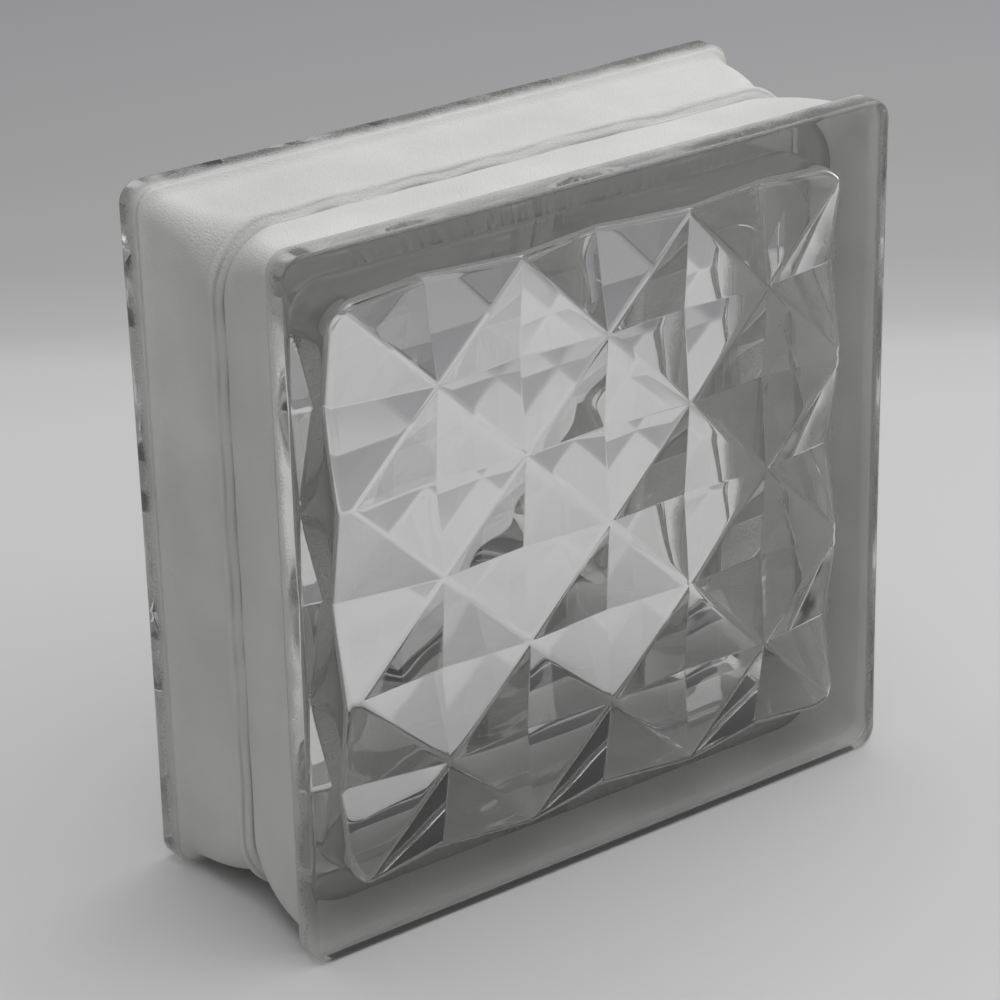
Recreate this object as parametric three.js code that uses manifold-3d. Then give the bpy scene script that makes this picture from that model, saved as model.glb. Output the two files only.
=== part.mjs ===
// Hollow glass block: two pressed glass halves fused along a seam, with a white coating on the edges.
// Millimetres. X runs along the front face, Y from the front face to the back face, Z up.
// The origin is on the floor, below the middle of the block.
import * as THREE from "three";
import { mergeVertices } from "three/addons/utils/BufferGeometryUtils.js";
import Module from "manifold-3d";

// ---- Driving dimensions ----
const FACE_WIDTH = 197; // along X, lip to lip
const FACE_HEIGHT = 197; // along Z, lip to lip
const BLOCK_DEPTH = 76; // along Y, face to face

// The lip is the rim of each half that stands out past its side walls.
const LIP_WIDTH = 7.7; // along Y, from the face to the start of the mortar channel
const LIP_CORNER_RADIUS = 6;
const FACE_EDGE_ROUND = 1.2;

// The mortar channel runs round the block between the two lips.
const CHANNEL_DEPTH_BY_LIP = 3;
const CHANNEL_DEPTH_BY_SEAM = 5;
const LIP_BACK_SPAN = 4.3; // along Y, over which the lip's back falls to the channel floor

// The seam bead is the ridge of glass that the fusing pushes out.
const BEAD_HEIGHT = 2.3;
const BEAD_HALF_WIDTH = 2.8;
const SEAM_CORNER_RADIUS = 18;
const CORNER_EASE = 4; // power by which the corner opens from the lip's radius to the seam's

// The hollow: the plunger's print, which sits a little off the middle of the mould.
const PANE_THICKNESS = 6; // at the valleys of the relief
const SIDE_WALL = 11.2; // left and right walls behind the pane, from the channel floor to the hollow
const TOP_WALL = 13.2; // the same for the top and bottom walls
const WALL_DRAFT = 2; // how far each wall leans out between the pane and the seam
const HOLLOW_FILLET = 2; // between the pane and the side walls
const HOLLOW_CORNER_RADIUS = 8;
const HOLLOW_SHIFT_X = 1.25;
const HOLLOW_SHIFT_Z = -0.4;

// The relief pressed into the inside of each pane. Whole pyramids stand corner to corner on a
// lattice, and a row of wedges rises from their outer corners to the walls.
const RELIEF_CELLS = 6; // lattice spacings across the pane
const PYRAMID_HEIGHT = 4;
const WEDGE_RISE = 8.6; // per lattice spacing, along the wedge's ridge
const RELIEF_SHIFT_X = 2.05; // from the middle of the hollow
const RELIEF_SHIFT_Z = -0.2;

// The coating on the channel
const COATING_THICKNESS = 0.3;
const COATING_CLEARANCE = 0.05; // between the coating and the glass that it covers

// ---- Fineness of the mesh ----
const CORNER_STEPS = 3; // each corner has twice as many chords
const ROUND_STEPS = 3;
const LIP_BACK_STEPS = 4;
const CHANNEL_STEPS = 4;
const BEAD_STEPS = 3;
const FILLET_STEPS = 4;
const CUT_PAST = 1; // how far a cutting solid runs past the face that it opens
const SUNK = 1; // how far a pyramid's base reaches below the valleys, inside the glass
const WEDGE_REACH = 2; // lattice spacings from a wedge's foot to its peak, behind the wall

const wasm = await Module();
wasm.setup();

// ---- Sections: where the side of one half lies, from its face (u = 0) to the seam ----
const HALF_DEPTH = BLOCK_DEPTH / 2;
const FLOOR_START = LIP_WIDTH + LIP_BACK_SPAN;
const BEAD_START = HALF_DEPTH - BEAD_HALF_WIDTH;

// How far the side stands in from the lip at a distance u behind the face, in the channel.
function channelInset(u) {
  if (u < FLOOR_START) {
    const t = (u - LIP_WIDTH) / LIP_BACK_SPAN;
    return CHANNEL_DEPTH_BY_LIP * Math.sin((t * Math.PI) / 2);
  }
  const floor = THREE.MathUtils.mapLinear(
    Math.min(u, BEAD_START),
    FLOOR_START,
    BEAD_START,
    CHANNEL_DEPTH_BY_LIP,
    CHANNEL_DEPTH_BY_SEAM,
  );
  if (u <= BEAD_START) return floor;
  const t = (u - BEAD_START) / BEAD_HALF_WIDTH;
  return floor - BEAD_HEIGHT * Math.sin((t * Math.PI) / 2);
}

function cornerRadius(u) {
  const t = THREE.MathUtils.clamp((u - LIP_WIDTH) / (BEAD_START - LIP_WIDTH), 0, 1);
  return THREE.MathUtils.lerp(LIP_CORNER_RADIUS, SEAM_CORNER_RADIUS, t ** CORNER_EASE);
}

// Evenly spaced values after `from`, up to and with `to`.
function steps(from, to, count) {
  return Array.from({ length: count }, (_, i) => from + ((to - from) * (i + 1)) / count);
}

// The stations in the channel, from the lip's edge to the seam.
const CHANNEL_STATIONS = [
  ...steps(LIP_WIDTH, FLOOR_START, LIP_BACK_STEPS),
  ...steps(FLOOR_START, BEAD_START, CHANNEL_STEPS),
  ...steps(BEAD_START, HALF_DEPTH, BEAD_STEPS),
];

// A section is { y, halfX, halfZ, radius }: a rounded rectangle about the block's axis.
function section(y, inset, radius) {
  return { y, halfX: FACE_WIDTH / 2 - inset, halfZ: FACE_HEIGHT / 2 - inset, radius };
}

function channelSection(u, proud = 0) {
  return section(u - HALF_DEPTH, channelInset(u) - proud, cornerRadius(u) + proud);
}

// ---- Solids ----
function outlinePoints({ halfX, halfZ, radius }) {
  const x = halfX - radius;
  const z = halfZ - radius;
  const quarter = Math.PI / 2;
  const shape = new THREE.Shape();
  shape.absarc(x, z, radius, 0, quarter);
  shape.absarc(-x, z, radius, quarter, 2 * quarter);
  shape.absarc(-x, -z, radius, 2 * quarter, 3 * quarter);
  shape.absarc(x, -z, radius, 3 * quarter, 4 * quarter);
  return shape.getPoints(CORNER_STEPS);
}

// The closed surface through the sections, from the lowest y to the highest, with flat ends.
// With `looped`, the sections go once round a ring's own profile and there are no ends.
function loft(sections, looped = false) {
  const rings = sections.map((section) =>
    outlinePoints(section).map((p) => [p.x, section.y, FACE_HEIGHT / 2 + p.y]),
  );
  const around = rings[0].length;
  const triangles = [];
  const bands = looped ? rings.length : rings.length - 1;
  for (let k = 0; k < bands; k++) {
    const near = rings[k];
    const far = rings[(k + 1) % rings.length];
    for (let i = 0; i < around; i++) {
      const j = (i + 1) % around;
      triangles.push(near[i], far[i], far[j], near[i], far[j], near[j]);
    }
  }
  if (!looped) {
    const first = rings[0];
    const last = rings[rings.length - 1];
    for (let i = 1; i < around - 1; i++) {
      triangles.push(first[0], first[i], first[i + 1]);
      triangles.push(last[0], last[i + 1], last[i]);
    }
  }
  return new THREE.BufferGeometry().setAttribute(
    "position",
    new THREE.Float32BufferAttribute(triangles.flat(), 3),
  );
}

function toSolid(geometry) {
  const bare = geometry.clone();
  bare.deleteAttribute("normal");
  bare.deleteAttribute("uv");
  const merged = mergeVertices(bare, 1e-4);
  return new wasm.Manifold(
    new wasm.Mesh({
      numProp: 3,
      vertProperties: merged.attributes.position.array,
      triVerts: new Uint32Array(merged.index.array),
    }),
  );
}

function toGeometry(solid) {
  const mesh = solid.getMesh();
  const geometry = new THREE.BufferGeometry();
  geometry.setAttribute("position", new THREE.BufferAttribute(mesh.vertProperties, 3));
  geometry.setIndex(new THREE.BufferAttribute(mesh.triVerts, 1));
  geometry.computeVertexNormals();
  return geometry;
}

// Half a block from outside, filled in: the face with its rounded edge, the lip and the channel.
function filledHalf() {
  const faceEdge = [0, ...steps(0, 1, ROUND_STEPS)].map((t) => {
    const angle = (t * Math.PI) / 2;
    const inset = FACE_EDGE_ROUND * (1 - Math.sin(angle));
    const y = FACE_EDGE_ROUND * (1 - Math.cos(angle)) - HALF_DEPTH;
    return section(y, inset, LIP_CORNER_RADIUS - inset);
  });
  const landEnd = section(LIP_WIDTH - HALF_DEPTH, 0, LIP_CORNER_RADIUS);
  const channel = CHANNEL_STATIONS.map((u) => channelSection(u));
  return toSolid(loft([...faceEdge, landEnd, ...channel]));
}

// Half the hollow's width and height where it meets the pane.
const HOLLOW_HALF_X = FACE_WIDTH / 2 - channelInset(FLOOR_START) - SIDE_WALL;
const HOLLOW_HALF_Z = FACE_HEIGHT / 2 - channelInset(FLOOR_START) - TOP_WALL;
const VALLEY_Y = PANE_THICKNESS - HALF_DEPTH;

// The hollow of one half before its relief, opened past the seam.
function hollowPlug() {
  const hollowSection = (y, extra) => {
    const lean = THREE.MathUtils.mapLinear(y, VALLEY_Y, 0, 0, WALL_DRAFT);
    return {
      y,
      halfX: HOLLOW_HALF_X + lean - extra,
      halfZ: HOLLOW_HALF_Z + lean - extra,
      radius: HOLLOW_CORNER_RADIUS - extra,
    };
  };
  const fillet = [0, ...steps(0, 1, FILLET_STEPS)].map((t) => {
    const angle = (t * Math.PI) / 2;
    const y = VALLEY_Y + HOLLOW_FILLET * (1 - Math.cos(angle));
    return hollowSection(y, HOLLOW_FILLET * (1 - Math.sin(angle)));
  });
  const plug = toSolid(loft([...fillet, hollowSection(CUT_PAST, 0)]));
  return plug.translate([HOLLOW_SHIFT_X, 0, HOLLOW_SHIFT_Z]);
}

// The relief, peaks towards the seam, over an area that the hollow then trims.
function relief() {
  const pitchX = (2 * (HOLLOW_HALF_X - HOLLOW_FILLET)) / RELIEF_CELLS;
  const pitchZ = (2 * (HOLLOW_HALF_Z - HOLLOW_FILLET)) / RELIEF_CELLS;
  const middleX = HOLLOW_SHIFT_X + RELIEF_SHIFT_X;
  const middleZ = HOLLOW_SHIFT_Z + RELIEF_SHIFT_Z + FACE_HEIGHT / 2;
  // A pyramid on the lattice, reach spacings from its middle to each corner of its base.
  const pyramid = (i, j, height, reach) => {
    const tall = height + SUNK;
    const spread = (reach * tall) / height;
    const shape = new THREE.ConeGeometry(1, tall, 4);
    shape.scale(spread * pitchX, 1, spread * pitchZ);
    return toSolid(
      shape.translate(
        middleX + i * pitchX,
        VALLEY_Y + height - tall / 2,
        middleZ + j * pitchZ,
      ),
    );
  };
  const edge = RELIEF_CELLS / 2 - 1; // the lattice line where the whole pyramids end
  const solids = [];
  for (let i = -edge; i <= edge; i++) {
    for (let j = -edge; j <= edge; j++) {
      if ((i + j) % 2 !== 0) solids.push(pyramid(i, j, PYRAMID_HEIGHT, 1));
    }
  }
  const wedgeHeight = WEDGE_RISE * WEDGE_REACH;
  const behind = edge + WEDGE_REACH;
  for (let k = -edge; k <= edge; k += 2) {
    solids.push(pyramid(k, behind, wedgeHeight, WEDGE_REACH));
    solids.push(pyramid(k, -behind, wedgeHeight, WEDGE_REACH));
    solids.push(pyramid(behind, k, wedgeHeight, WEDGE_REACH));
    solids.push(pyramid(-behind, k, wedgeHeight, WEDGE_REACH));
  }
  return wasm.Manifold.union(solids);
}

// One pressed half, its face at -Y and its open side on the seam plane, y = 0.
function pressedHalf() {
  const hollow = hollowPlug().subtract(relief());
  return toGeometry(filledHalf().subtract(hollow));
}

// The coating over one half's side of the channel and seam bead: a thin ring.
function coatingHalf() {
  const stations = CHANNEL_STATIONS.filter(
    (u) => channelInset(u) > COATING_THICKNESS + COATING_CLEARANCE,
  );
  const proud = COATING_THICKNESS + COATING_CLEARANCE;
  const outer = stations.map((u) => channelSection(u, proud));
  const inner = stations.map((u) => channelSection(u, COATING_CLEARANCE)).reverse();
  return loft([...outer, ...inner], true);
}

// The same piece turned half a turn about Z, so that it faces the first across the seam.
function turned(geometry) {
  return geometry.clone().scale(-1, -1, 1);
}

function coatingRing() {
  const half = coatingHalf();
  return toGeometry(toSolid(half).add(toSolid(turned(half))));
}

// ---- The block ----
const glass = () =>
  new THREE.MeshStandardMaterial({
    color: 0xc9d3cf,
    roughness: 0.05,
    metalness: 0,
    transparent: true,
    opacity: 0.45,
  });
const whiteCoating = new THREE.MeshStandardMaterial({
  color: 0xe8e7e3,
  roughness: 0.85,
  metalness: 0,
});

const block = new THREE.Group();

function place(name, geometry, material) {
  const mesh = new THREE.Mesh(geometry, material);
  mesh.name = name;
  block.add(mesh);
}

const half = pressedHalf();
place("front_glass_half", half, glass());
place("back_glass_half", turned(half), glass());
place("edge_coating", coatingRing(), whiteCoating);

export default block;
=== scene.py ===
# %% [markdown]
# # A hollow glass block
# This lesson dresses a glass building block: two pressed halves of clear glass, fused edge to edge,
# with a matt white coating sprayed round the mortar channel. The exact sizes come from the CAD frame,
# which is loaded first and never moved. Everything is built in metres in the frame's own axes: X along
# the front face, Y from the front face to the back face, Z up, with the floor at Z = 0.

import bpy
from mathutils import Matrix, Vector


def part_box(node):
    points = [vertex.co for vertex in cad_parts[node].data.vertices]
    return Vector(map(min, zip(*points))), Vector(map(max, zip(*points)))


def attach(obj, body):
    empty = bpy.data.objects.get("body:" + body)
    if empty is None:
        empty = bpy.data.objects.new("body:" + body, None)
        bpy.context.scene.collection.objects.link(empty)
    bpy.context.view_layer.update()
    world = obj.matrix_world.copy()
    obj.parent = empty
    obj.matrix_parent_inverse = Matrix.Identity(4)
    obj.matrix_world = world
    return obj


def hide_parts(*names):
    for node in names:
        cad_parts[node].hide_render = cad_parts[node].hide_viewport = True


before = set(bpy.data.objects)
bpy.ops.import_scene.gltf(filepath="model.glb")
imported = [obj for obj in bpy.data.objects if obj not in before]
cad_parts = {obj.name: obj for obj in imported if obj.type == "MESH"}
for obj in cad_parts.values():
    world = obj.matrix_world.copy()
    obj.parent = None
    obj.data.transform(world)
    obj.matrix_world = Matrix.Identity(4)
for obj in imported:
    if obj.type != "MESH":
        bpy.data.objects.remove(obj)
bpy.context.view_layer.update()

import math

import bmesh
import bpy
import numpy as np
from mathutils import Matrix, Vector

# %% [markdown]
# ## The block's outline
# The outline is read from a CAD node and not typed again, so the dressed model can't drift away from
# it. The node is one half of the block, with its face at the front and its open side on the seam.

# %% Half width, half height and half depth
MM = 0.001

front_low, front_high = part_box("front_glass_half")
HALF_WIDTH = (front_high[0] - front_low[0]) / 2
HALF_HEIGHT = (front_high[2] - front_low[2]) / 2
HALF_DEPTH = front_high[1] - front_low[1]
MIDDLE_Z = (front_high[2] + front_low[2]) / 2
print("half width, height and depth:", HALF_WIDTH, HALF_HEIGHT, HALF_DEPTH)

# %% [markdown]
# ## View transform and light bounces
# The Standard view shows a colour as it is written. Thick glass needs many bounces: a ray crosses four
# surfaces on the way through, and several more where the relief or a side wall turns it back. Too few
# bounces would leave black patches in the facets. The clamp takes the sparks out of light that was bent
# several times.

# %% View and bounces
scene = bpy.context.scene
scene.view_settings.view_transform = "Standard"
scene.cycles.max_bounces = 14
scene.cycles.transmission_bounces = 12
scene.cycles.glossy_bounces = 6
scene.cycles.diffuse_bounces = 3
scene.cycles.transparent_max_bounces = 16
scene.cycles.sample_clamp_indirect = 8.0

# %% [markdown]
# ## Camera
# A long lens from high on the left shows the face, the top and one side at once, with little
# convergence. The three turns are the heading, the dip below level and a slight roll.

# %% Camera
CAMERA_PLACE = (-0.51698, -0.69102, 0.48056)
CAMERA_TURN = -36.405  # degrees about Z
CAMERA_DIP = 24.160
CAMERA_ROLL = -1.358
LENS_MM = 124.245

camera_data = bpy.data.cameras.new("camera")
camera_data.lens = LENS_MM
camera_data.sensor_width = 36.0
camera = bpy.data.objects.new("camera", camera_data)
scene.collection.objects.link(camera)
camera.matrix_world = (
    Matrix.Translation(CAMERA_PLACE)
    @ Matrix.Rotation(math.radians(CAMERA_TURN), 4, "Z")
    @ Matrix.Rotation(math.radians(90 - CAMERA_DIP), 4, "X")
    @ Matrix.Rotation(math.radians(CAMERA_ROLL), 4, "Z")
)
scene.camera = camera

# %% [markdown]
# ## Helpers for materials
# Every material starts from the same Principled shader, so a few short helpers keep the cells below
# readable: one makes the material, one turns a written colour into the linear numbers that sockets
# take, and the others add the nodes that are used most.


# %% Node helpers
def new_material(name):
    material = bpy.data.materials.new(name)
    material.use_nodes = True
    nodes = material.node_tree.nodes
    return material, nodes, material.node_tree.links, nodes["Principled BSDF"]


def linear(hex_colour):
    parts = [int(hex_colour[i : i + 2], 16) / 255 for i in (0, 2, 4)]
    return [p / 12.92 if p <= 0.04045 else ((p + 0.055) / 1.055) ** 2.4 for p in parts]


def ramp(nodes, links, value, stops):
    """A colour ramp over value; stops are (position, hex colour)."""
    node = nodes.new("ShaderNodeValToRGB")
    elements = node.color_ramp.elements
    while len(elements) < len(stops):
        elements.new(0.5)
    for element, (position, colour) in zip(elements, stops):
        element.position = position
        element.color = (*linear(colour), 1)
    links.new(value, node.inputs["Fac"])
    return node.outputs["Color"]


def spread(nodes, links, value, low, high, to_low=0.0, to_high=1.0):
    """A Map Range node that takes low..high to to_low..to_high and stops at both ends."""
    node = nodes.new("ShaderNodeMapRange")
    node.inputs["From Min"].default_value = low
    node.inputs["From Max"].default_value = high
    node.inputs["To Min"].default_value = to_low
    node.inputs["To Max"].default_value = to_high
    links.new(value, node.inputs["Value"])
    return node.outputs["Result"]


def calculate(nodes, links, operation, a, b):
    node = nodes.new("ShaderNodeMath")
    node.operation = operation
    for socket, value in zip(node.inputs, (a, b)):
        if isinstance(value, (int, float)):
            socket.default_value = value
        else:
            links.new(value, socket)
    return node.outputs[0]


def noise(nodes, links, place, scale, detail=2.0):
    node = nodes.new("ShaderNodeTexNoise")
    node.inputs["Scale"].default_value = scale
    node.inputs["Detail"].default_value = detail
    links.new(place, node.inputs["Vector"])
    return node.outputs["Fac"]


def attribute(nodes, name):
    node = nodes.new("ShaderNodeAttribute")
    node.attribute_name = name
    return node.outputs["Fac"]


# %% [markdown]
# ## Floor
# The block stands on a sheet of pale studio paper that rises into a backdrop behind it, which is darker
# where it turns up away from the light. A real curved sheet would give that shade itself, but an upright
# sheet hides the block from behind, so the shade is painted on one flat plane instead, as a ramp along
# the viewing direction.

# %% Floor
FLOOR_SIZE = 5.0
RAMP_START = -0.1
RAMP_END = 0.9

floor_material, nodes, links, shader = new_material("studio_paper")
along = nodes.new("ShaderNodeMapping")
along.vector_type = "TEXTURE"
along.inputs["Rotation"].default_value = (0, 0, math.radians(CAMERA_TURN))
links.new(nodes.new("ShaderNodeNewGeometry").outputs["Position"], along.inputs["Vector"])
split = nodes.new("ShaderNodeSeparateXYZ")
links.new(along.outputs["Vector"], split.inputs["Vector"])
distance = spread(nodes, links, split.outputs["Y"], RAMP_START, RAMP_END)
# Painted shade: the paper's tone gets darker further back, towards the backdrop
paper_and_painted_shade = ramp(
    nodes,
    links,
    distance,
    [
        (0.0, "d6d6d6"),
        (0.18, "d2d2d2"),
        (0.38, "d1d1d1"),
        (0.44, "cccccc"),
        (0.475, "bcbcbc"),
        (0.54, "b0b0b0"),
        (0.66, "ababab"),
        (1.0, "a7a6ab"),
    ],
)
links.new(paper_and_painted_shade, shader.inputs["Base Color"])
shader.inputs["Roughness"].default_value = 0.9
shader.inputs["Specular IOR Level"].default_value = 0.2

bpy.ops.mesh.primitive_plane_add(size=FLOOR_SIZE)
floor = bpy.context.object
floor.name = "floor"
floor.data.materials.append(floor_material)

# %% [markdown]
# ## Lamps and world
# One wide softbox overhead gives the top its brightness and the left side its shade. The world is a dim
# grey room: it fills the shadows, and it is what the darker facets and rims of the glass show. Its
# colour is even, so there is no bright spot in it to aim at, and it isn't sampled like a lamp.

# %% Lamps and world
SOFTBOX_PLACE = (0.34, -0.08, 1.36)
SOFTBOX_AIM = (0.0, 0.0, 0.1)
SOFTBOX_SIZE = 2.3
SOFTBOX_WATTS = 24.6
ROOM_STRENGTH = 0.228

softbox_data = bpy.data.lights.new("overhead_softbox", "AREA")
softbox_data.size = SOFTBOX_SIZE
softbox_data.energy = SOFTBOX_WATTS
softbox = bpy.data.objects.new("overhead_softbox", softbox_data)
scene.collection.objects.link(softbox)
softbox.location = SOFTBOX_PLACE
towards_block = Vector(SOFTBOX_AIM) - Vector(SOFTBOX_PLACE)
softbox.rotation_euler = towards_block.to_track_quat("-Z", "Y").to_euler()

world = bpy.data.worlds.new("studio")
scene.world = world
world.use_nodes = True
world.cycles.sampling_method = "NONE"
background = world.node_tree.nodes["Background"]
background.inputs["Color"].default_value = (1.0, 1.0, 1.0, 1)
background.inputs["Strength"].default_value = ROOM_STRENGTH

# %% [markdown]
# ## The outside of a half
# Each half has a flat face with a lip round it. Behind the lip the side falls away into the mortar
# channel, which rises again at the seam, where fusing pushed out a bead of glass. These functions give
# the side's profile at a distance u behind the face. They repeat the CAD source, because the fit
# between the pieces depends on them. The lip's top and sides bow in a little, as pressed glass shrinks
# when it cools. Its bottom edge stays straight, and the block rests on it.

# %% Profile of the side
LIP_WIDTH = 7.7 * MM
LIP_BACK_SPAN = 4.3 * MM
LIP_BOW = 0.4 * MM
LIP_CORNER_RADIUS = 6.0 * MM
FACE_EDGE_ROUND = 1.2 * MM
CHANNEL_DEPTH_BY_LIP = 3.0 * MM
CHANNEL_DEPTH_BY_SEAM = 5.0 * MM
BEAD_HEIGHT = 2.3 * MM
BEAD_HALF_WIDTH = 2.8 * MM
SEAM_CORNER_RADIUS = 18.0 * MM
CORNER_EASE = 4  # how late the corners open out towards the seam
FLOOR_START = LIP_WIDTH + LIP_BACK_SPAN
BEAD_START = HALF_DEPTH - BEAD_HALF_WIDTH


def channel_inset(u):
    if u < FLOOR_START:
        return CHANNEL_DEPTH_BY_LIP * math.sin((u - LIP_WIDTH) / LIP_BACK_SPAN * math.pi / 2)
    share = (min(u, BEAD_START) - FLOOR_START) / (BEAD_START - FLOOR_START)
    floor_inset = CHANNEL_DEPTH_BY_LIP + share * (CHANNEL_DEPTH_BY_SEAM - CHANNEL_DEPTH_BY_LIP)
    if u <= BEAD_START:
        return floor_inset
    return floor_inset - BEAD_HEIGHT * math.sin((u - BEAD_START) / BEAD_HALF_WIDTH * math.pi / 2)


def corner_radius(u):
    share = min(max((u - LIP_WIDTH) / (BEAD_START - LIP_WIDTH), 0.0), 1.0)
    return LIP_CORNER_RADIUS + (SEAM_CORNER_RADIUS - LIP_CORNER_RADIUS) * share**CORNER_EASE


# %% [markdown]
# ## The inside of a half
# A plunger presses the hollow and a relief of pyramids into each half. It sits a little off the middle
# of the mould. Whole pyramids stand corner to corner on a lattice, a row of wedges rises from their
# outer corners to the walls, and on the left and right walls each wedge ends below a shallow pocket.

# %% Sizes of the hollow and its relief
PANE_THICKNESS = 6.0 * MM
HOLLOW_HALF_WIDTH = 84.25 * MM
HOLLOW_HALF_HEIGHT = 82.2 * MM
HOLLOW_SHIFT = (1.25 * MM, -0.4 * MM)
HOLLOW_DRAFT = 1.5 * MM
HOLLOW_CORNER_RADIUS = 8.0 * MM
HOLLOW_FILLET = 2.2 * MM
INNER_BEAD = 0.6 * MM  # glass pushed inwards at the seam
INNER_BEAD_WIDTH = 2.0 * MM
TOOL_MARK = 0.015 * MM
TOOL_MARK_WAVES = (0.75 / MM, 0.43 / MM)

PITCH_X = 27.4 * MM
PITCH_Z = 26.8 * MM
RELIEF_CENTRE = (3.3 * MM, -0.6 * MM)
PYRAMID_HEIGHT = 4.0 * MM
BORDER_RISE = 8.6 * MM  # per pitch
VALLEY_SOFTNESS = 0.4 * MM

POCKET_START = 21.5 * MM  # behind the face
POCKET_REACH = 90.7 * MM  # from the block's middle
POCKET_SLOPE = 2.2
POCKET_FALL_ABOVE = 0.75  # how fast its edge runs back towards the seam, above and below the ridge
POCKET_FALL_BELOW = 0.5
POCKETS_END = 66.0 * MM  # above and below the middle, where the walls turn plain
POCKETS_FADE = 10.0 * MM

# %% [markdown]
# ## One grid for every ring
# The inside of the pane is a grid whose lines fall on the ridges and valleys of the relief, because a
# facet only looks cut when its edges follow mesh edges. The border of this grid then sets the points of
# every ring that runs round the block, so that all of them join without gaps. Pulling the square border
# into a rounded one keeps the points in order.
#
# A line that would fall too near the border is left out, because it would make slivers there.

# %% Grid lines and rings
CELL_STEPS = 26
RIDGE_HALF_WIDTH = 0.25 * MM
LEAST_STEP = 0.35  # of a normal step, between the last line and the border


def grid_lines(half, origin, pitch):
    shares = [0.0, RIDGE_HALF_WIDTH / pitch]
    shares += [k / CELL_STEPS for k in range(1, CELL_STEPS)]
    shares += [1 - RIDGE_HALF_WIDTH / pitch]
    margin = LEAST_STEP * pitch / CELL_STEPS
    lines = [origin + (k + s) * pitch for k in range(-4, 5) for s in shares]
    return np.array([-half] + [v for v in lines if abs(v) < half - margin] + [half])


def round_corners(x, z, half_x, half_z, radius):
    centre_x, centre_z = half_x - radius, half_z - radius
    a = np.clip(np.abs(x) - centre_x, 0, None) / radius
    b = np.clip(np.abs(z) - centre_z, 0, None) / radius
    new_x = np.where(a > 0, np.sign(x) * (centre_x + radius * a * np.sqrt(1 - b * b / 2)), x)
    new_z = np.where(b > 0, np.sign(z) * (centre_z + radius * b * np.sqrt(1 - a * a / 2)), z)
    return new_x, new_z


pane_half_x = HOLLOW_HALF_WIDTH - HOLLOW_FILLET
pane_half_z = HOLLOW_HALF_HEIGHT - HOLLOW_FILLET
lines_x = grid_lines(pane_half_x, RELIEF_CENTRE[0] - HOLLOW_SHIFT[0], PITCH_X)
lines_z = grid_lines(pane_half_z, RELIEF_CENTRE[1] - HOLLOW_SHIFT[1], PITCH_Z)
NX, NZ = len(lines_x), len(lines_z)
point_number = np.arange(NX * NZ).reshape(NX, NZ)
sides = (
    point_number[:-1, 0],
    point_number[-1, :-1],
    point_number[:0:-1, -1],
    point_number[0, :0:-1],
)
border = np.concatenate(sides)
AROUND = len(border)
border_x = lines_x[border // NZ] / pane_half_x
border_z = lines_z[border % NZ] / pane_half_z
print("grid", NX, "by", NZ, "and", AROUND, "points round each ring")


def ring(half_x, half_z, radius, y, shift=(0.0, 0.0), bow=0.0):
    """A rounded rectangle of AROUND points; bow pulls in its top and its sides."""
    x, z = round_corners(border_x * half_x, border_z * half_z, half_x, half_z, radius)
    span_x = np.clip(1 - (z / (half_z - radius)) ** 2, 0, 1)
    span_z = np.clip(1 - (x / (half_x - radius)) ** 2, 0, 1)
    bowed_x = x * (1 - bow / half_x * span_x)
    bowed_z = np.where(z > 0, z * (1 - bow / half_z * span_z), z)
    return np.stack([bowed_x + shift[0], np.broadcast_to(y, x.shape), bowed_z + shift[1]], axis=1)


# %% [markdown]
# ## Relief
# The relief is a height field, the highest of many pyramids and wedges. Taking the plain maximum would
# give razor-sharp valleys, which a plunger can't press, so the maximum is softened over a fraction of a
# millimetre. A slow ripple stands for the unevenness of poured glass, which makes the facets look
# alive.

# %% Relief height
WAVES = 7


def soft_max(a, b, k):
    """The larger of a and b, rounded off where they differ by less than k."""
    overlap = np.clip(k - np.abs(a - b), 0, None)
    return np.maximum(a, b) + overlap**2 / (4 * k)


def relief_height(x, z):
    fx = (x - RELIEF_CENTRE[0]) / PITCH_X
    fz = (z - RELIEF_CENTRE[1]) / PITCH_Z
    height = np.full(np.shape(fx), -1.0)
    for i in range(-2, 3):
        for j in range(-2, 3):
            if (i + j) % 2:
                pyramid = PYRAMID_HEIGHT * (1 - np.abs(fx - i) - np.abs(fz - j))
                height = soft_max(height, pyramid, VALLEY_SOFTNESS)
    for k in (-2, 0, 2):
        for out, side in ((fz - 2, fx), (-fz - 2, fx), (fx - 2, fz), (-fx - 2, fz)):
            wedge = BORDER_RISE * (out - np.abs(side - k))
            height = soft_max(height, wedge, VALLEY_SOFTNESS)
    return height


def ripple(x, z, size, length, seed):
    """A slow uneven wave of about this size and wavelength, made of sines in all directions."""
    random = np.random.default_rng(seed)
    total = np.zeros(np.shape(x))
    for _ in range(WAVES):
        angle = random.uniform(0, math.tau)
        phase = random.uniform(0, math.tau)
        wave = math.tau / (length * random.uniform(0.6, 1.6))
        total = total + np.sin((x * math.cos(angle) + z * math.sin(angle)) * wave + phase)
    return total * size / math.sqrt(WAVES)


# %% [markdown]
# ## Walls of the hollow
# A wall ring follows the hollow's outline with a slight draft, so that the plunger can be drawn out.
# Faint waves in depth are the tool marks that show as soft streaks through the rim. The pockets push
# the left and right walls outwards behind the wedges, and their two sloped sides make bright diamonds
# in the rim. Each pocket begins at a roof-shaped edge. Straight rings would cut that edge into steps,
# so the rings bend with it: a first share of them lies above the edge, the next on the slope below it,
# and the rest from there to the seam.

# %% Wall rings
SHARE_ABOVE = 0.4
SHARE_ON_SLOPE = 0.2
SHARE_TO_SEAM = 0.4


def pocket_edge(z):
    """How far behind the face the pocket begins, at the height z."""
    falls = []
    for k in (-2, 0, 2):
        above = z - RELIEF_CENTRE[1] - k * PITCH_Z
        falls.append(np.where(above > 0, POCKET_FALL_ABOVE * above, -POCKET_FALL_BELOW * above))
    return POCKET_START + np.min(falls, axis=0)


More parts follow.
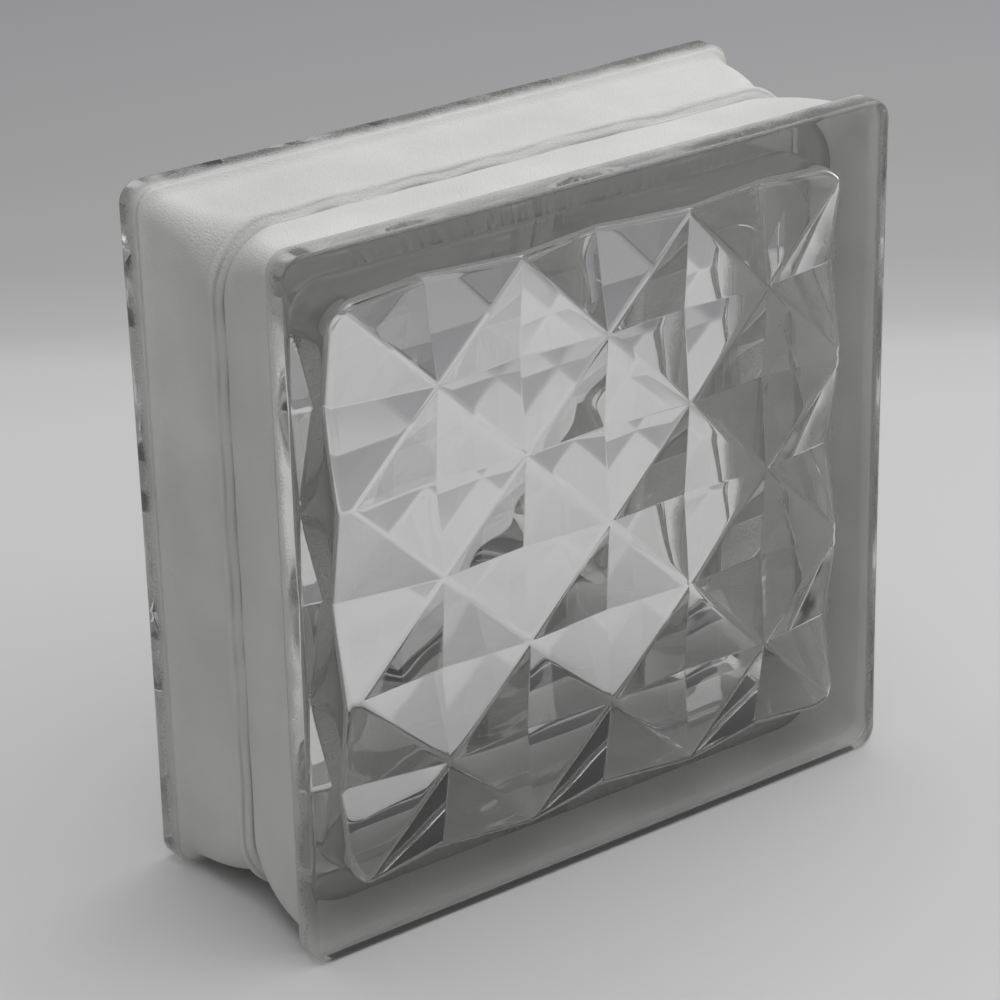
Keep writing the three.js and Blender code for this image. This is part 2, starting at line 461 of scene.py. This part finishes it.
def wall_ring(share, start_y, seed):
    """One ring of the hollow's wall; share runs from 0 at the fillet to 1 at the seam."""
    open_by = HOLLOW_DRAFT * share
    points = ring(
        HOLLOW_HALF_WIDTH + open_by,
        HOLLOW_HALF_HEIGHT + open_by,
        HOLLOW_CORNER_RADIUS + 2 * open_by,
        0,
        HOLLOW_SHIFT,
    )
    x, z = np.abs(points[:, 0]), points[:, 2]
    start = start_y + HALF_DEPTH
    beside_wedge = 1 - np.clip((np.abs(z) - POCKETS_END) / POCKETS_FADE, 0, 1)

    edge = pocket_edge(z)
    room = np.clip(POCKET_REACH - x, 0, None)
    upper = np.clip(edge, None, HALF_DEPTH - 2 * MM)
    lower = np.clip(edge + room / POCKET_SLOPE, None, HALF_DEPTH - 1 * MM)
    stops = [start, upper, lower, np.full(len(z), HALF_DEPTH)]
    bent = start
    begin = 0.0
    for part, a, b in zip((SHARE_ABOVE, SHARE_ON_SLOPE, SHARE_TO_SEAM), stops, stops[1:]):
        bent = bent + np.clip((share - begin) / part, 0, 1) * (b - a)
        begin += part
    u = beside_wedge * bent + (1 - beside_wedge) * (start + share * (HALF_DEPTH - start))

    depth = np.clip(POCKET_SLOPE * (u - edge), 0, room) * beside_wedge
    marks = TOOL_MARK * sum(np.sin(u * w + seed * n) for n, w in enumerate(TOOL_MARK_WAVES, 1))
    seam_bead = INNER_BEAD * np.exp(-(((HALF_DEPTH - u) / INNER_BEAD_WIDTH) ** 2))
    away = points * (1, 0, 1) / np.hypot(points[:, 0], points[:, 2])[:, None]
    points = points + away * (marks - seam_bead)[:, None]
    points[:, 0] += np.sign(points[:, 0]) * depth
    points[:, 1] = u - HALF_DEPTH
    return points


# %% [markdown]
# ## One half as a closed mesh
# The half is built in one pass: the pane's grid, then rings up the fillet and the wall to the seam, out
# along the seam, back down the channel to the lip, and over the lip's rounded edge to the flat face.
# Two attributes travel with the mesh. "skin" says what a face is: clear glass, the lip, bonded to the
# coating, or fused to the other half at the seam. "land" grows from 0 at the face to 1 at the rear edge
# of the lip, for the paint that drifts onto it.

# %% Build a half
FILLET_STEPS = 7
WALL_STEPS = 50
ROUND_STEPS = 5
FILLET_LIFT = 0.8  # how much of the wedges' rise the foot of the wall follows
RIM_STEP = 0.3 * MM  # from the rounded edge to the last ring on the flat face
RIPPLE_SIZE = 0.03 * MM
RIPPLE_LENGTH = 24.0 * MM
CLEAR, LIP, BONDED, SEAM = 0, 1, 2, 3


def half_rings(pane_points, seed):
    """The rings after the pane, each with its skin and its land value."""
    rings = []
    base_y = pane_points[:, 1]
    corner_y = base_y + BORDER_RISE / PITCH_X * HOLLOW_FILLET * FILLET_LIFT
    valley = PANE_THICKNESS - HALF_DEPTH
    wall_foot = ring(
        HOLLOW_HALF_WIDTH, HOLLOW_HALF_HEIGHT, HOLLOW_CORNER_RADIUS, valley, HOLLOW_SHIFT
    )
    for k in range(1, FILLET_STEPS + 1):
        t = k / FILLET_STEPS
        points = pane_points * (1 - t) ** 2 + wall_foot * (1 - (1 - t) ** 2)
        points[:, 1] = base_y * (1 - t) ** 2 + corner_y * (1 - (1 - t) ** 2) + HOLLOW_FILLET * t * t
        rings.append((points, CLEAR, 0))
    for k in range(1, WALL_STEPS + 1):
        rings.append((wall_ring(k / WALL_STEPS, corner_y + HOLLOW_FILLET, seed), CLEAR, 0))

    stations = [HALF_DEPTH - BEAD_HALF_WIDTH * s for s in (0, 0.15, 0.3, 0.45, 0.6, 0.75, 0.9, 1)]
    stations += list(np.linspace(BEAD_START, FLOOR_START, 8)[1:])
    stations += [LIP_WIDTH + LIP_BACK_SPAN * s for s in (0.8, 0.6, 0.45, 0.3, 0.15)]
    for u in stations:
        half_x, half_z = HALF_WIDTH - channel_inset(u), HALF_HEIGHT - channel_inset(u)
        skin = SEAM if u == HALF_DEPTH else BONDED
        rings.append((ring(half_x, half_z, corner_radius(u), u - HALF_DEPTH), skin, 1))
    for share in (1.0, 0.96, 0.7, 0.4, FACE_EDGE_ROUND / LIP_WIDTH):
        y = share * LIP_WIDTH - HALF_DEPTH
        land = ring(HALF_WIDTH, HALF_HEIGHT, LIP_CORNER_RADIUS, y, bow=LIP_BOW)
        rings.append((land, LIP, share))
    for k in range(1, ROUND_STEPS + 1):
        angle = k / ROUND_STEPS * math.pi / 2
        inset = FACE_EDGE_ROUND * (1 - math.cos(angle))
        y = FACE_EDGE_ROUND * (1 - math.sin(angle)) - HALF_DEPTH
        edge = ring(
            HALF_WIDTH - inset, HALF_HEIGHT - inset, LIP_CORNER_RADIUS - inset, y, bow=LIP_BOW
        )
        rings.append((edge, LIP, 0))
    inset = FACE_EDGE_ROUND + RIM_STEP
    rim = (HALF_WIDTH - inset, HALF_HEIGHT - inset, LIP_CORNER_RADIUS - inset, -HALF_DEPTH)
    rings.append((ring(*rim, bow=LIP_BOW), CLEAR, 0))
    return rings


def build_half(name, seed):
    """One half as an object; the seed sets its ripple and tool marks."""
    gx, gz = np.meshgrid(lines_x, lines_z, indexing="ij")
    px, pz = round_corners(gx, gz, pane_half_x, pane_half_z, HOLLOW_CORNER_RADIUS - HOLLOW_FILLET)
    px = px + HOLLOW_SHIFT[0]
    pz = pz + HOLLOW_SHIFT[1]
    height = relief_height(px, pz) + ripple(px, pz, RIPPLE_SIZE, RIPPLE_LENGTH, seed)
    pane = np.stack([px, PANE_THICKNESS - HALF_DEPTH + height, pz], axis=-1).reshape(-1, 3)

    # Each square of the grid is split along the slope of its facet.
    a, b = point_number[:-1, :-1].ravel(), point_number[1:, :-1].ravel()
    c, d = point_number[1:, 1:].ravel(), point_number[:-1, 1:].ravel()
    middle_x = (lines_x[:-1] + lines_x[1:]) / 2 + HOLLOW_SHIFT[0] - RELIEF_CENTRE[0]
    middle_z = (lines_z[:-1] + lines_z[1:]) / 2 + HOLLOW_SHIFT[1] - RELIEF_CENTRE[1]
    cell_x, cell_z = np.meshgrid(middle_x // PITCH_X, middle_z // PITCH_Z, indexing="ij")
    rising = ((cell_x + cell_z) % 2 == 0).ravel()
    first = [a, d, np.where(rising, c, b)]
    second = [np.where(rising, a, b), np.where(rising, c, d), np.where(rising, b, c)]
    faces = np.concatenate([np.stack(first, axis=1), np.stack(second, axis=1)]).tolist()
    skins = [CLEAR] * len(faces)
    land = [np.zeros(len(pane))]
    vertices = [pane]
    previous = border
    total = len(pane)
    for points, skin, share in half_rings(pane[border], seed):
        current = np.arange(total, total + AROUND)
        total += AROUND
        quads = [previous, np.roll(previous, -1), np.roll(current, -1), current]
        faces += np.stack(quads, axis=1).tolist()
        skins += [skin] * AROUND
        vertices.append(points)
        land.append(np.full(AROUND, float(share)))
        previous = current
    faces.append(previous.tolist())
    skins.append(CLEAR)

    points = np.concatenate(vertices) + (0, 0, MIDDLE_Z)
    mesh = bpy.data.meshes.new(name)
    mesh.from_pydata(points.tolist(), [], faces)
    mesh.attributes.new("skin", "FLOAT", "FACE").data.foreach_set("value", np.array(skins, float))
    mesh.attributes.new("land", "FLOAT", "POINT").data.foreach_set("value", np.concatenate(land))
    mesh.shade_smooth()
    piece = bpy.data.objects.new(name, mesh)
    scene.collection.objects.link(piece)
    return piece


# %% [markdown]
# ## Glass
# Real block glass is nearly clear, with a faint grey-green cast that only shows where light runs far
# through it, so the colour sits in the volume and not on the surface. Where the coating is bonded on,
# there is no air gap and no reflection: the surface is made fully transparent by its alpha. The fused
# seam is a little cloudy, and keeps part of its alpha. Paint that drifted onto the lip is rough and
# opaque, and it thins out in specks towards the face.
#
# For a lamp's shadow rays a glass surface is a wall, and whatever lies inside the block would go nearly
# black. A real block passes that light on in bent ways that take very long to find, so each surface
# lets a share by.

# %% Glass material
GLASS_TINT = (0.77, 0.805, 0.76)
GLASS_DENSITY = 7.0  # per metre
GLASS_IOR = 1.52
SEAM_CLOUD = 0.4
FACE_SHADOW_LIGHT = 0.2  # the share of light that a surface lets by to what lies in its shadow
LIP_SHADOW_LIGHT = 0.8
GRAIN_SHARE = 0.7  # how strongly the fine grain breaks up the patches
NOISE_SHARE = 0.6  # how strongly both of them break up the drift of paint over the lip
MIST_BEGINS, MIST_IS_FULL = 0.95, 1.62
LEAST_MIST, MOST_MIST = 0.04, 0.72
MOST_FROST = 0.3
CLEAN_GLASS = "fbfbfb"
MISTY_GLASS = "dcdcda"

glass, nodes, links, shader = new_material("pressed_glass")
place = nodes.new("ShaderNodeTexCoord").outputs["Object"]
skin = attribute(nodes, "skin")
land = attribute(nodes, "land")
on_lip = calculate(nodes, links, "COMPARE", skin, LIP)
at_seam = calculate(nodes, links, "COMPARE", skin, SEAM)
uncovered = calculate(nodes, links, "LESS_THAN", skin, BONDED - 0.5)

# Drifted paint and a slight frosting on the lip
grain = noise(nodes, links, place, 1600, 0)
patches = noise(nodes, links, place, 110, 1)
specks = calculate(nodes, links, "ADD", calculate(nodes, links, "MULTIPLY", grain, GRAIN_SHARE), patches)
drift = calculate(nodes, links, "ADD", calculate(nodes, links, "MULTIPLY", specks, NOISE_SHARE), land)
mist = spread(nodes, links, drift, MIST_BEGINS, MIST_IS_FULL, LEAST_MIST, MOST_MIST)
mist = calculate(nodes, links, "MULTIPLY", mist, on_lip)
mist = calculate(nodes, links, "MAXIMUM", mist, at_seam)
frost = spread(nodes, links, patches, 0.35, 0.7, 0, MOST_FROST)
frost = calculate(nodes, links, "MULTIPLY", frost, on_lip)
tint = ramp(nodes, links, mist, [(0.0, CLEAN_GLASS), (0.3, MISTY_GLASS)])
links.new(tint, shader.inputs["Base Color"])
links.new(spread(nodes, links, mist, 0, 1, 1, 0), shader.inputs["Transmission Weight"])
links.new(calculate(nodes, links, "MAXIMUM", frost, mist), shader.inputs["Roughness"])
shader.inputs["IOR"].default_value = GLASS_IOR
shader.distribution = "GGX"

# Alpha: nothing where the coating is bonded on, a part at the seam, and less for shadow rays
cloudy = calculate(nodes, links, "MULTIPLY", at_seam, SEAM_CLOUD)
solid = calculate(nodes, links, "ADD", uncovered, cloudy)
shadow = nodes.new("ShaderNodeLightPath").outputs["Is Shadow Ray"]
let_by = spread(nodes, links, on_lip, 0, 1, FACE_SHADOW_LIGHT, LIP_SHADOW_LIGHT)
kept = calculate(nodes, links, "SUBTRACT", 1.0, calculate(nodes, links, "MULTIPLY", shadow, let_by))
links.new(calculate(nodes, links, "MULTIPLY", solid, kept), shader.inputs["Alpha"])

absorb = nodes.new("ShaderNodeVolumeAbsorption")
absorb.inputs["Color"].default_value = (*GLASS_TINT, 1)
absorb.inputs["Density"].default_value = GLASS_DENSITY
links.new(absorb.outputs["Volume"], nodes["Material Output"].inputs["Volume"])

# %% [markdown]
# ## Two halves
# The two halves come from one mould, so the back is the same pressing turned half a turn about Z. Only
# the ripple and the tool marks differ, because no two pressings flow alike.

# %% Place the halves
FRONT_SEED = 3
BACK_SEED = 11

front = build_half("front_glass", FRONT_SEED)
back = build_half("back_glass", BACK_SEED)
back.data.transform(Matrix.Rotation(math.pi, 4, "Z"))
for piece, node in ((front, "front_glass_half"), (back, "back_glass_half")):
    piece.data.materials.append(glass)
    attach(piece, "root")
    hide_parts(node)
print("half:", len(front.data.vertices), "points and", len(front.data.polygons), "faces")

# %% [markdown]
# ## Shape of the coating
# The coating is a skin a third of a millimetre thick over the channel and the seam bead. It is a closed
# shell: one ring profile for its outside, one for its inside, walked once round. The seam's crest under
# it wanders a little, with two creases on each side, and "crease" marks where the material paints
# dust and shade into them.

# %% Build the coating
COAT_GAP = 0.03 * MM
COAT_THICKNESS = 0.3 * MM
CREST_SWELL = 0.3 * MM
CREST_WIDTH = 1.3 * MM
CREASES = ((3.1 * MM, 0.35 * MM, 1.0), (1.3 * MM, 0.28 * MM, 0.5))  # distance, width, share of depth
CREASE_DEPTH = 0.22 * MM
WANDER_SIZE = 0.35 * MM
WANDER_LENGTH = 30.0 * MM
WANDER_SEED = 5
FINE_SPAN = 5.0 * MM  # beside the seam, where the rings stand closer


def build_coating():
    stations = [LIP_WIDTH + LIP_BACK_SPAN * s for s in (0.15, 0.3, 0.45, 0.6, 0.8)]
    stations += list(np.linspace(FLOOR_START, HALF_DEPTH - FINE_SPAN, 9)[:-1])
    stations += list(np.linspace(HALF_DEPTH - FINE_SPAN, HALF_DEPTH, 20))
    walk = [(u, 1) for u in stations] + [(u, -1) for u in stations[::-1][1:]]

    def coat_ring(u, side, proud):
        half_x = HALF_WIDTH - channel_inset(u) + proud
        half_z = HALF_HEIGHT - channel_inset(u) + proud
        return ring(half_x, half_z, corner_radius(u) + proud, (u - HALF_DEPTH) * side)

    inner = [coat_ring(u, side, COAT_GAP) for u, side in walk]
    outer = []
    creases = []
    for u, side in walk:
        points = coat_ring(u, side, COAT_GAP + COAT_THICKNESS)
        wander = ripple(points[:, 0], points[:, 2], WANDER_SIZE, WANDER_LENGTH, WANDER_SEED)
        beside = np.abs(points[:, 1] - wander)
        crease = sum(d * np.exp(-(((beside - at) / wide) ** 2)) for at, wide, d in CREASES)
        swell = CREST_SWELL * np.exp(-((beside / CREST_WIDTH) ** 2)) - CREASE_DEPTH * crease
        outward = points * (1, 0, 1)
        points = points + outward / np.linalg.norm(outward, axis=1)[:, None] * swell[:, None]
        outer.append(points)
        creases.append(crease)
    creases += [np.zeros(AROUND)] * len(inner)

    rings = outer + inner[::-1]
    here = np.arange(AROUND)
    faces = []
    for r in range(len(rings)):
        near, far = r * AROUND, (r + 1) % len(rings) * AROUND
        beside = np.roll(here, -1)
        faces += np.stack([near + here, far + here, far + beside, near + beside], axis=1).tolist()
    points = np.concatenate(rings) + (0, 0, MIDDLE_Z)
    mesh = bpy.data.meshes.new("coating")
    mesh.from_pydata(points.tolist(), [], faces)
    mesh.attributes.new("crease", "FLOAT", "POINT").data.foreach_set("value", np.concatenate(creases))
    mesh.shade_smooth()
    piece = bpy.data.objects.new("coating", mesh)
    scene.collection.objects.link(piece)
    return piece


# %% [markdown]
# ## Finish of the coating
# The coating is matt and slightly grainy, like dried emulsion. A little light passes through it and
# lights the glass behind it, so a translucent shader is mixed in. The grain is a fine bump, and the
# colour is uneven: slow cloudy patches, and a darker line in the creases that is part dust and part
# painted shade, broken up in patches.

# %% Coating material
COATING_LIGHT = "f4f4f3"
COATING_DULL = "e8e8e6"
# The crease colour is part dust and part painted shade, for the shade that falls in the creases
CREASE_DUST_AND_SHADE = "77736f"
MOST_DUST_AND_SHADE = 0.75
TRANSLUCENCY = 0.34
GRAIN_DEPTH = 0.2 * MM

paint, nodes, links, shader = new_material("white_coating")
place = nodes.new("ShaderNodeTexCoord").outputs["Object"]
clouds = ramp(
    nodes, links, noise(nodes, links, place, 28, 2), [(0.3, COATING_DULL), (0.7, COATING_LIGHT)]
)
broken = spread(nodes, links, noise(nodes, links, place, 60, 1), 0.35, 0.6, 0.25, 1.0)
# Dust and painted shade in the creases beside the seam, broken up in patches
dust_and_shade = calculate(nodes, links, "MULTIPLY", attribute(nodes, "crease"), broken)
mix = nodes.new("ShaderNodeMix")
mix.data_type = "RGBA"
links.new(calculate(nodes, links, "MULTIPLY", dust_and_shade, MOST_DUST_AND_SHADE), mix.inputs["Factor"])
links.new(clouds, mix.inputs["A"])
mix.inputs["B"].default_value = (*linear(CREASE_DUST_AND_SHADE), 1)
colour = mix.outputs["Result"]
links.new(colour, shader.inputs["Base Color"])
shader.inputs["Roughness"].default_value = 0.85
shader.inputs["Specular IOR Level"].default_value = 0.3

bump = nodes.new("ShaderNodeBump")
bump.inputs["Strength"].default_value = 1.0
bump.inputs["Distance"].default_value = GRAIN_DEPTH
links.new(noise(nodes, links, place, 1700, 0), bump.inputs["Height"])
links.new(bump.outputs["Normal"], shader.inputs["Normal"])

through = nodes.new("ShaderNodeBsdfTranslucent")
links.new(colour, through.inputs["Color"])
blend = nodes.new("ShaderNodeMixShader")
blend.inputs["Fac"].default_value = TRANSLUCENCY
links.new(shader.outputs["BSDF"], blend.inputs[1])
links.new(through.outputs["BSDF"], blend.inputs[2])
links.new(blend.outputs["Shader"], nodes["Material Output"].inputs["Surface"])

coating = build_coating()
coating.data.materials.append(paint)
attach(coating, "root")
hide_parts("edge_coating")

# %% [markdown]
# ## Check the meshes
# Glass and its volume only render well on closed meshes whose faces look outwards. A signed volume
# tells both at once: it is positive for outward faces, and every edge must have exactly two faces.

# %% Closed and outward
for piece in (front, back, coating):
    mesh = bmesh.new()
    mesh.from_mesh(piece.data)
    open_edges = sum(not edge.is_manifold for edge in mesh.edges)
    print(piece.name, "volume in cm3:", round(mesh.calc_volume(signed=True) * 1e6, 1))
    print(piece.name, "open edges:", open_edges)
    mesh.free()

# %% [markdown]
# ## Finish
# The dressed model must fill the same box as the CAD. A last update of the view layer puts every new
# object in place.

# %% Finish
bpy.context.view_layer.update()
